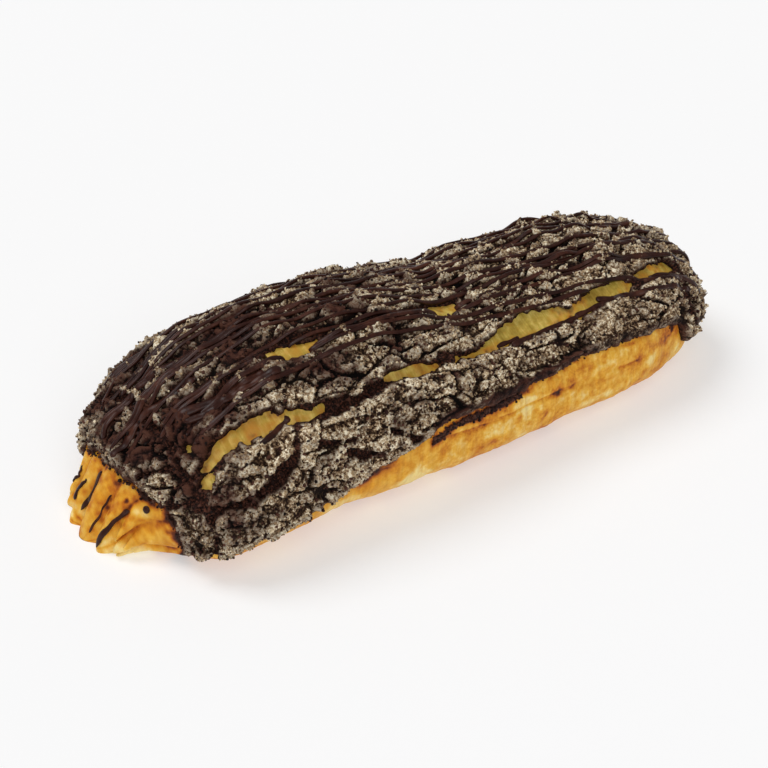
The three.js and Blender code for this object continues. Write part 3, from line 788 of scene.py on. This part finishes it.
def crust_surface():
    """The crust's outer surface as a grid, with what the other pieces need to know of it."""
    rows = 600
    columns = 320
    stations = np.linspace(x_station(CRUST_START_X), CRUST_LAST_STATION, rows)
    x = np.repeat(station_x(stations)[:, None], columns, 1)
    front = along(FRONT_EDGE, x) + PAST_EDGE
    back = along(BACK_EDGE, x) - PAST_EDGE
    degrees = back + (front - back) * np.linspace(0, 1, columns)
    angle = np.radians(degrees)
    base = shell_point(x, angle, False)
    normal = shell_normal(x, angle)
    across = shell_point(x, angle + 0.01, False) - shell_point(x, angle - 0.01, False)
    mm_per_degree = np.linalg.norm(across, axis=-1) / np.degrees(0.02)
    crack, window, rim, ragged = crust_edges(base, x, degrees, mm_per_degree)
    edge = np.minimum(np.minimum(crack, window), rim)
    relief, rubble, holds, gap = crust_lumps(base, edge)

    # the melted rim along the foot of the front, thick, smooth and bare of sugar
    foot = (along(FRONT_EDGE, x) - degrees) * mm_per_degree
    melted = (1 - smoothstep(foot + 0.5 * ragged, 1.6, 2.8)) * smoothstep(x, -22, -4)
    flat_front = smoothstep(degrees, 43, 52) * smoothstep(x, 24, 38)
    flat_front = flat_front * (1 - smoothstep(x, 58, 61))
    relief = relief * (1 - 0.4 * flat_front) * (1 - 0.75 * melted) + 0.3 * melted
    sugar = sugar_cover(base, x, degrees, edge, holds, gap, melted)

    # the height over the shell: low in cracks, and sunk out of sight in windows and past the rim
    thick = CRUST_THICK + CRAG * (0.9 * uneven(base, 17, 0.4) + uneven(base, 8.5, 2.1))
    top = (thick + relief) * (1 - 0.5 * (1 - smoothstep(window, 0.2, 3.0)))
    dips = noise(base, 1.6, 39)
    floor = 0.55 + 0.45 * dips + rubble
    top = np.maximum(top, 0.5 + 0.2 * dips)
    height = floor + (top - floor) * smoothstep(crack, -0.2, 0.55)
    open_window = 1 - smoothstep(window, -0.3, 0.35)
    height = height + (-SUNK - height) * open_window
    height *= 1 - 0.4 * (1 - smoothstep(rim, 0.2, 1.8)) * (height > 0)
    height = (height + SUNK) * smoothstep(rim, -0.3, 0.3) - SUNK

    # the walls of cracks and windows and the rim, painted crumb colour with near-black painted
    # shade
    wall = np.maximum(1 - smoothstep(crack, 0.0, 0.7), 1 - smoothstep(window, 0.0, 0.6))
    wall = np.maximum(wall, 0.6 * (1 - smoothstep(rim, 0.0, 0.5)))
    # painted shade and light: the level, low where the crust sinks below its surroundings and high
    # where it stands proud, darkens its hollows and lightens its crests in the crust's colour, and
    # places the sugar crystals
    row_spacing = ROWS_SPAN / rows
    proud = height - blurred(height, 1.0 / row_spacing)
    hollow = height - blurred(height, 2.6 / row_spacing)
    level = np.clip(0.5 + 0.55 * proud + 0.35 * hollow - 0.16 * melted, 0, 1)
    return {
        "rows": rows, "columns": columns, "x": x, "degrees": degrees,
        "points": base + normal * height[..., None], "normal": normal, "height": height,
        "sugar": sugar, "wall": wall, "level": level, "edge": edge, "melted": melted,
    }


def blurred(values, reach):
    """A grid of numbers, each averaged with its neighbours out to about the reach, in steps."""
    reach = max(1, int(round(reach)))
    for axis in (0, 1):
        pad = [(0, 0), (0, 0)]
        pad[axis] = (reach + 1, reach)
        total = np.cumsum(np.pad(values, pad, mode="edge"), axis)
        ahead = np.take(total, range(2 * reach + 1, total.shape[axis]), axis)
        behind = np.take(total, range(0, total.shape[axis] - 2 * reach - 1), axis)
        values = (ahead - behind) / (2 * reach + 1)
    return values


def crack_at(line, value, given=0, wanted=1):
    """A crack's angle at an x, or its x at an angle."""
    marks = np.array(line, float)
    return np.interp(value, marks[:, given], marks[:, wanted])


def plate_numbers(x, degrees):
    """Which plate each place is on: 0 left cap, 1 chip, 2 front, 3 top, 4 back, 5 right cap."""
    plate = np.full(x.shape, 3)
    plate = np.where(degrees > crack_at(FRONT_FISSURE, x), 2, plate)
    plate = np.where(degrees < crack_at(BACK_FISSURE, x), 4, plate)
    # the first mark of the chip's crack is on the fissure, and the rest are its lower side
    on_chip = (x < -40) & (degrees < crack_at(CHIP_CRACK[:0:-1], x))
    plate = np.where((plate == 2) & on_chip, 1, plate)
    plate = np.where(x < crack_at(LEFT_COLLAR, degrees, 1, 0), 0, plate)
    plate = np.where(x > crack_at(RIGHT_COLLAR, degrees, 1, 0), 5, plate)
    return plate


PLATE_NODES = [
    "crust_left_cap", "crust_chip", "crust_front", "crust_top", "crust_back", "crust_right_cap",
]


def crust_pieces(surface, material):
    """The crust's plates, each a piece over its solid."""
    faces = grid_faces(surface["rows"], surface["columns"])
    height = surface["height"].ravel()
    shown = height[faces].max(1) > LEAST_SHOWN
    x = surface["x"].ravel()[faces].mean(1)
    degrees = surface["degrees"].ravel()[faces].mean(1)
    plate = plate_numbers(x, degrees)
    # the level goes to the material as height, for painted shade in hollows and painted light on
    # crests
    attributes = {"height": surface["level"], "sugar": surface["sugar"], "wall": surface["wall"]}
    for number, node in enumerate(PLATE_NODES):
        chosen = faces[shown & (plate == number)]
        piece = mesh_object(f"{node}_looks", surface["points"], chosen, material, attributes)
        dress(piece, node)


def height_at(surface, x, degrees):
    """The crust's height over the shell at x and angle."""
    start = x_station(CRUST_START_X)
    row = (x_station(x) - start) / (CRUST_LAST_STATION - start) * (surface["rows"] - 1)
    front = along(FRONT_EDGE, x) + PAST_EDGE
    back = along(BACK_EDGE, x) - PAST_EDGE
    column = (degrees - back) / (front - back) * (surface["columns"] - 1)
    row = np.clip(np.round(row).astype(int), 0, surface["rows"] - 1)
    column = np.clip(np.round(column).astype(int), 0, surface["columns"] - 1)
    return surface["height"][row, column]


def angle_at(x, y):
    """The angle, in degrees, at which the shell's upper side has the given y."""
    half, _, _, _, shift = section(x)
    share = np.clip((shift - y) / np.maximum(half, 0.5), -1, 1)
    return np.degrees(np.arcsin(power(share, CROWN_POWER / 2)))


def strand_mesh(centre, normal, half_width):
    """Points and faces of one line of chocolate: round on top, flat and sunk below."""
    side = unit(np.cross(np.gradient(centre, axis=0), normal))
    turns = np.linspace(0, np.pi, 8)
    across = np.concatenate([np.cos(turns), [-0.7, 0.7]])
    up = np.concatenate([np.sin(turns) * STRAND_RISE, [-0.75, -0.75]])
    out = side[:, None] * across[:, None] + normal[:, None] * up[:, None]
    rings = centre[:, None] + out * half_width[:, None, None]
    count = len(across)
    near = np.arange(count // 2 - 1)
    end = np.stack([near, near + 1, count - 2 - near, count - 1 - near], -1)
    faces = np.concatenate([
        grid_faces(len(centre), count, around=True),
        end,
        end[:, ::-1] + (len(centre) - 1) * count,
    ])
    return rings.reshape(-1, 3), faces


def joined(name, parts, material):
    """One mesh object from several lots of points and faces."""
    starts = np.cumsum([0] + [len(points) for points, _ in parts[:-1]])
    points = np.concatenate([points for points, _ in parts])
    faces = np.concatenate([faces + start for (_, faces), start in zip(parts, starts)])
    return mesh_object(name, points, faces, material)


def round_ends(count, half_width, step):
    """Half widths along a strand that thin out over both ends."""
    distance = np.minimum(np.arange(count), np.arange(count)[::-1]) * step
    return half_width * np.sqrt(np.clip(distance / (half_width.mean() * 1.2) + 0.03, 0, 1))


def smoothed(values, reach):
    """A row of numbers, each averaged with its neighbours, the near ones most."""
    kernel = np.hanning(2 * reach + 3)[1:-1]
    padded = np.pad(values, reach, mode="edge")
    return np.convolve(padded, kernel / kernel.sum(), "valid")


def crust_strand(surface, x, degrees, half_width, step, lift=None):
    """A strand laid on the crust: it bridges small gaps, and a long one with a lift of its own
    drops out of sight where it crosses a wide opening."""
    long = lift is not None
    keep = (x < STRAND_END_X) & (np.abs(degrees) < LOWEST_STRAND_ANGLE)
    lift = lift if long else np.zeros(len(x))
    x, degrees, half_width, lift = x[keep], degrees[keep], half_width[keep], lift[keep]
    under = height_at(surface, x, degrees)
    reach = max(1, int((LONG_BRIDGE if long else SHORT_BRIDGE) / step))
    padded = np.pad(under, reach, mode="edge")
    highest = np.max([padded[k : k + len(under)] for k in range(2 * reach + 1)], 0)
    level = smoothed(0.6 * highest + 0.4 * under, reach) + 0.05 + lift
    level = np.maximum(level, 0.0)
    if long:
        level -= 3 * smoothstep(smoothed((under < -0.4) * 1.0, reach), 0.5, 0.9)
    angle = np.radians(degrees)
    normal = shell_normal(x, angle)
    centre = shell_point(x, angle, False) + normal * level[:, None]
    return strand_mesh(centre, normal, round_ends(len(x), half_width, step))


def drizzle(surface, material):
    """All the chocolate that lies on the crust and in its windows."""
    step = 0.5
    steps = int(STRAND_LENGTH / step)
    draw = np.random.default_rng(40)
    parts = []
    for k in range(STRANDS):
        x = station_x(np.linspace(x_station(STRAND_START_X), STRAND_LAST_STATION, steps))
        line = np.stack([x, 0 * x + 11.0 * k, 0 * x], -1)
        start, slope = draw.uniform((-67, -0.025), (-53, 0.025))
        y = NEAREST_STRAND_Y + k * STRAND_PITCH + slope * x
        y += 1.1 * noise(line, 34, 41) + 0.22 * noise(line, 12, 42) + 0.04 * noise(line, 3, 43)
        width = STRAND_HALF_WIDTH * (1 + 0.4 * noise(line, 9, 44) + 0.2 * noise(line, 3, 45))
        lift = 0.22 * noise(line, 8, 46) - 0.08
        inside = (np.abs(along(SIDE_SHIFT, x) - y) < section(x)[0] * 0.93) & (x > start)
        degrees = angle_at(x, y)
        laid = (values[inside] for values in (x, degrees, width))
        parts.append(crust_strand(surface, *laid, step, lift[inside]))
    for marks, half_width in SHORT_STRANDS:
        marks = np.array(marks, float)
        travel = np.abs(np.diff(marks, axis=0)).sum(0)
        length = 1 + int(travel[0] + travel[1] / 3)
        t = np.linspace(0, len(marks) - 1, max(8, int(length / step)))
        x = smoothed(np.interp(t, range(len(marks)), marks[:, 0]), 3)
        degrees = smoothed(np.interp(t, range(len(marks)), marks[:, 1]), 3)
        width = half_width * (1 + 0.15 * np.sin(t * 5 + marks[0, 0]))
        parts.append(crust_strand(surface, x, degrees, width, step))
    return joined("chocolate_drizzle", parts, material)


def tip_chocolate(material):
    """The marks and the dot of chocolate on the piped tip."""
    parts = []
    for x0, y0, x1, y1, half_width in TIP_MARKS:
        t = np.linspace(0, 1, 40)
        x = x0 + (x1 - x0) * t
        wander = 0.18 * np.sin(t * 7 + y0) + 0.1 * np.sin(t * 17 + y0)
        y = y0 + (y1 - y0) * t + wander
        half, _, _, _, shift = section(x)
        share = np.clip((shift - y) / half, -0.99, 0.99)
        angle = np.arcsin(power(share, CROWN_POWER / 2))
        normal = shell_normal(x, angle)
        centre = shell_point(x, angle) + normal * 0.15
        width = half_width * (0.8 + 0.3 * t + 0.15 * np.sin(t * 11 + x0))
        parts.append(strand_mesh(centre, normal, round_ends(40, width, 0.2)))
    x, y, radius = TIP_DOT
    angle = np.radians(angle_at(np.array(x), np.array(y)))
    centre = shell_point(x, angle)
    normal = shell_normal(x, angle)
    side = unit(np.cross(normal, [1.0, 0, 0]))
    ahead = np.cross(side, normal)
    tilt = np.linspace(0.02, np.pi - 0.02, 12)[:, None, None]
    turn = np.linspace(0, 2 * np.pi, 20, endpoint=False)[:, None]
    out = np.sin(tilt) * (side * np.cos(turn) + ahead * np.sin(turn))
    rings = centre + radius * (0.45 * np.cos(tilt) * normal + out)
    parts.append((rings.reshape(-1, 3), grid_faces(12, 20, around=True)))
    return joined("tip_chocolate", parts, material)


def crumb_shape():
    """A twenty-sided crumb of radius one."""
    g = (1 + 5**0.5) / 2
    corners = np.array([
        (-1, g, 0), (1, g, 0), (-1, -g, 0), (1, -g, 0), (0, -1, g), (0, 1, g),
        (0, -1, -g), (0, 1, -g), (g, 0, -1), (g, 0, 1), (-g, 0, -1), (-g, 0, 1),
    ], float)
    faces = np.array([
        (0, 11, 5), (0, 5, 1), (0, 1, 7), (0, 7, 10), (0, 10, 11), (1, 5, 9), (5, 11, 4),
        (11, 10, 2), (10, 7, 6), (7, 1, 8), (3, 9, 4), (3, 4, 2), (3, 2, 6), (3, 6, 8),
        (3, 8, 9), (4, 9, 5), (2, 4, 11), (6, 2, 10), (8, 6, 7), (9, 8, 1),
    ])
    return corners / np.linalg.norm(corners[0]), faces


def crystal_shape():
    """A six-sided sugar crystal of radius one."""
    corners = np.array([
        (-1, -1, -1), (1, -1, -1), (1, 1, -1), (-1, 1, -1),
        (-1, -1, 1), (1, -1, 1), (1, 1, 1), (-1, 1, 1),
    ], float)
    faces = np.array([
        (0, 2, 1), (0, 3, 2), (4, 5, 6), (4, 6, 7), (0, 1, 5), (0, 5, 4),
        (1, 2, 6), (1, 6, 5), (2, 3, 7), (2, 7, 6), (3, 0, 4), (3, 4, 7),
    ])
    return corners / 3**0.5, faces


def scattered(surface, chance, count, spacing, draw):
    """Places and outward directions on the crust, spaced apart, where the chance allows."""
    points = surface["points"]
    rows, columns = surface["rows"], surface["columns"]
    i = draw.integers(0, rows - 1, count * 12)
    j = draw.integers(0, columns - 1, count * 12)
    corner = points[i, j]
    ahead = points[i + 1, j] - corner
    across = points[i, j + 1] - corner
    area = np.linalg.norm(np.cross(ahead, across), axis=1)
    accept = draw.random(len(i)) * np.quantile(area, 0.9) < area * chance[i, j]
    i, j = i[accept], j[accept]
    u = draw.random((len(i), 2))
    place = corner[accept] + ahead[accept] * u[:, :1] + across[accept] * u[:, 1:]
    _, chosen = np.unique(np.floor(place / spacing).astype(int), axis=0, return_index=True)
    draw.shuffle(chosen)
    chosen = chosen[:count]
    return place[chosen], surface["normal"][i, j][chosen]


def rim_crumbs(draw):
    """Places and directions of crumbs that stick to the shell just outside the crust's rim: over
    the tip, in the fringe and along the front."""
    tip_angle = draw.uniform(-80, 98, RIM_CRUMBS)
    tip_x = along(LEFT_EDGE, tip_angle) + draw.uniform(-0.7, 0.8, RIM_CRUMBS)
    fringe_x = draw.uniform(-11, 12, RIM_CRUMBS)
    fringe_angle = fringe_middle(fringe_x) + draw.normal(0, 1.1, RIM_CRUMBS)
    side_x = draw.uniform(-60, 60, SIDE_CRUMBS)
    side_angle = along(FRONT_EDGE, side_x) - 1 + draw.exponential(0.6, SIDE_CRUMBS)
    x = np.concatenate([tip_x, fringe_x, side_x])
    angle = np.radians(np.concatenate([tip_angle, fringe_angle, side_angle]))
    return shell_point(x, angle), shell_normal(x, angle)


def grains(name, place, normal, grain, radius, material, seed):
    """Grains in one mesh, each turned and dented its own way and of its own size between the two
    radii."""
    draw = np.random.default_rng(seed)
    shape, faces = grain
    total = len(place)
    size = radius[0] + (radius[1] - radius[0]) * draw.random((total, 1, 1)) ** 1.8
    turn = draw.normal(size=(total, 3, 3))
    turn, _ = np.linalg.qr(turn)
    stretch = 1 + 0.28 * draw.uniform(-1, 1, (total, 1, 3))
    dent = 1 + 0.22 * draw.uniform(-1, 1, (total, len(shape), 1))
    local = np.einsum("nij,nkj->nki", turn, shape * stretch * dent * size)
    points = place[:, None] + normal[:, None] * size * (1 - GRAIN_SINK) + local
    tone = np.repeat(draw.random(total), len(shape))
    all_faces = (faces + np.arange(total)[:, None, None] * len(shape)).reshape(-1, 3)
    piece = mesh_object(name, points, all_faces, material, {"tone": tone}, smooth=False)
    dress(piece)


def soft_light(name, direction, softness, strength):
    """A distant light from the given direction, as soft as its width in degrees on the sky."""
    data = bpy.data.lights.new(name, "SUN")
    data.angle = math.radians(softness)
    data.energy = strength
    turn = Vector(direction).to_track_quat("Z", "Y")
    scene_object(name, data).rotation_euler = turn.to_euler()


def photo_camera():
    azimuth = math.radians(CAMERA_AZIMUTH)
    elevation = math.radians(CAMERA_ELEVATION)
    back = Vector((
        math.sin(azimuth) * math.cos(elevation),
        -math.cos(azimuth) * math.cos(elevation),
        math.sin(elevation),
    ))
    data = bpy.data.cameras.new("photo_camera")
    data.sensor_width = SENSOR_MM
    data.lens = FOCAL_PIXELS * SENSOR_MM / PHOTO_PIXELS
    camera = scene_object("photo_camera", data)
    target = Vector(CAMERA_TARGET) + Vector(PLACE)
    camera.location = (target + back * CAMERA_DISTANCE) * 0.001
    camera.rotation_euler = back.to_track_quat("Z", "Y").to_euler()
    bpy.context.scene.camera = camera


def studio():
    """A pale table and soft light from above and behind on the left."""
    corners = np.array([(-1, -1, 0), (1, -1, 0), (1, 1, 0), (-1, 1, 0)]) * TABLE_HALF_MM - PLACE
    table = mesh_object("table", corners, [[0, 1, 2, 3]], floor_material())
    soft_light("key", (-0.35, 0.4, 0.9), 35, 1.4)
    soft_light("fill", (-0.3, -0.8, 0.8), 45, 1.15)
    world = bpy.data.worlds.new("studio_world")
    bpy.context.scene.world = world
    world.use_nodes = True
    background = world.node_tree.nodes["Background"]
    background.inputs["Color"].default_value = (1.0, 1.0, 1.0, 1.0)
    background.inputs["Strength"].default_value = 0.25
    bpy.context.scene.view_settings.view_transform = "Standard"


def chocolate_lines(surface):
    chocolate = drizzle_material()
    dress(drizzle(surface, chocolate))
    dress(tip_chocolate(chocolate))


def sugar_and_crumbs(surface):
    """Sugar crystals on the crust's high places, and cocoa crumbs over it and at its rim."""
    sugar_paint = grain_material("raw_sugar", [
        (0.0, 98, 74, 53),
        (0.4, 150, 123, 93),
        (0.8, 194, 169, 133),
        (1.0, 243, 228, 196),
    ], 0.4)
    cocoa = [(0.0, 16, 6, 4), (0.5, 56, 27, 20), (1.0, 88, 55, 42)]
    crumb_paint = grain_material("cocoa_crumb", cocoa, 0.7)
    draw = np.random.default_rng(51)
    off_edge = smoothstep(surface["edge"], 0.25, 0.9) * (surface["height"] > 0.5)
    proud = smoothstep(surface["level"], 0.4, 0.7)
    chance = np.clip(surface["sugar"] * 1.3 - 0.3, 0, 1) * off_edge * proud
    place, normal = scattered(surface, chance, CRYSTALS, 0.5, draw)
    grains("sugar_crystals", place, normal, crystal_shape(), CRYSTAL_RADIUS, sugar_paint, 52)

    chance = 0.8 - 0.55 * surface["sugar"] + 0.6 * surface["wall"] - 0.7 * surface["melted"]
    chance = np.clip(chance, 0, 1) * (surface["height"] > 0.1)
    place, normal = scattered(surface, chance, CRUMBS, 0.7, draw)
    fallen, fallen_normal = rim_crumbs(draw)
    place = np.concatenate([place, fallen])
    normal = np.concatenate([normal, fallen_normal])
    grains("cocoa_crumbs", place, normal, crumb_shape(), CRUMB_RADIUS, crumb_paint, 53)


photo_camera()
studio()
dress(choux_shell(choux_material()), "choux_shell")
surface = crust_surface()
crust_pieces(surface, crust_material())
chocolate_lines(surface)
sugar_and_crumbs(surface)
